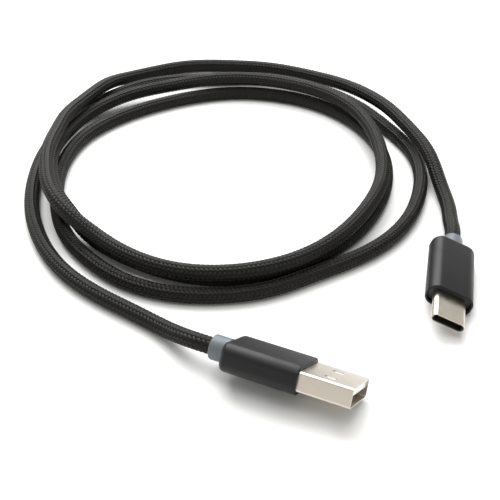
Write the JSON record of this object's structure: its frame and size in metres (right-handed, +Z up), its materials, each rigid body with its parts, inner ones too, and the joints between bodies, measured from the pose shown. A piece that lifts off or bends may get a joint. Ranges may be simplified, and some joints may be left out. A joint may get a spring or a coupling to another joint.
{
  "type": "charging cable",
  "caption": "Braided charging cable with a flat USB-A plug and an oval USB-C plug, lying in a loose coil.",
  "frame": {"origin": "on the surface that the cable lies on, under the middle of the box round the two plugs", "axes": "+X to the right along the row of the two plugs, +Y from the plugs towards the coil, +Z up from the surface"},
  "size_m": [0.1191, 0.172, 0.013],
  "materials": {
    "braid": "braided nylon, satin",
    "wire_red": "smooth",
    "wire_white": "smooth",
    "wire_green": "smooth",
    "wire_black": "smooth",
    "nickel_shell": "nickel plated, satin",
    "gold_contact": "gold plated",
    "white_resin": "moulded",
    "black_resin": "moulded",
    "inner_sheath": "extruded",
    "spring_steel": "rolled",
    "anodised_aluminium": "black anodised, satin",
    "grey_rubber": "moulded, slightly translucent",
    "circuit_board": "solder mask",
    "ceramic_chip": "fired"
  },
  "bodies": {
    "cable": {"cord": "braid", "usb_a_shell": "nickel_shell", "usb_a_tongue": "white_resin", "usb_a_contact_power": "gold_contact", "usb_a_contact_data_minus": "gold_contact", "usb_a_contact_data_plus": "gold_contact", "usb_a_contact_ground": "gold_contact", "usb_a_inner_mould": "black_resin", "usb_a_inner_sheath": "inner_sheath", "usb_a_crimp_ferrule": "spring_steel", "usb_a_wire_red": "wire_red", "usb_a_wire_white": "wire_white", "usb_a_wire_green": "wire_green", "usb_a_wire_black": "wire_black", "usb_a_housing": "anodised_aluminium", "usb_a_collar": "grey_rubber", "usb_c_shell": "nickel_shell", "usb_c_insulator": "black_resin", "usb_c_circuit_card": "circuit_board", "usb_c_pull_up_resistor": "ceramic_chip", "usb_c_rear_shield": "spring_steel", "usb_c_inner_mould": "black_resin", "usb_c_inner_sheath": "inner_sheath", "usb_c_crimp_ferrule": "spring_steel", "usb_c_wire_red": "wire_red", "usb_c_wire_white": "wire_white", "usb_c_wire_green": "wire_green", "usb_c_wire_black": "wire_black", "usb_c_housing": "anodised_aluminium", "usb_c_collar": "grey_rubber"},
    "upper_contact_row": {"usb_c_upper_contacts": "gold_contact"},
    "lower_contact_row": {"usb_c_lower_contacts": "gold_contact"},
    "left_latch_spring": {"usb_c_latch_left": "spring_steel"},
    "right_latch_spring": {"usb_c_latch_right": "spring_steel"}
  },
  "joints": [
    {"name": "upper_contact_flex", "type": "hinge", "parent": "cable", "child": "upper_contact_row", "pos_m": [0.02306, 0.00502, 0.00462], "axis": [-0.9101, 0.1769, 0.3746], "range_deg": [0, 1.5], "stiffness_Nm_per_rad": 0.05},
    {"name": "lower_contact_flex", "type": "hinge", "parent": "cable", "child": "lower_contact_row", "pos_m": [0.02271, 0.00509, 0.00373], "axis": [-0.9101, 0.1769, 0.3746], "range_deg": [-1.5, 0], "stiffness_Nm_per_rad": 0.05},
    {"name": "left_latch_flex", "type": "hinge", "parent": "cable", "child": "left_latch_spring", "pos_m": [0.02575, 0.0045, 0.00299], "axis": [0.3677, -0.0715, 0.9272], "range_deg": [0, 1.5], "stiffness_Nm_per_rad": 0.05},
    {"name": "right_latch_flex", "type": "hinge", "parent": "cable", "child": "right_latch_spring", "pos_m": [0.02002, 0.00561, 0.00535], "axis": [0.3677, -0.0715, 0.9272], "range_deg": [-1.5, 0], "stiffness_Nm_per_rad": 0.05}
  ]
}
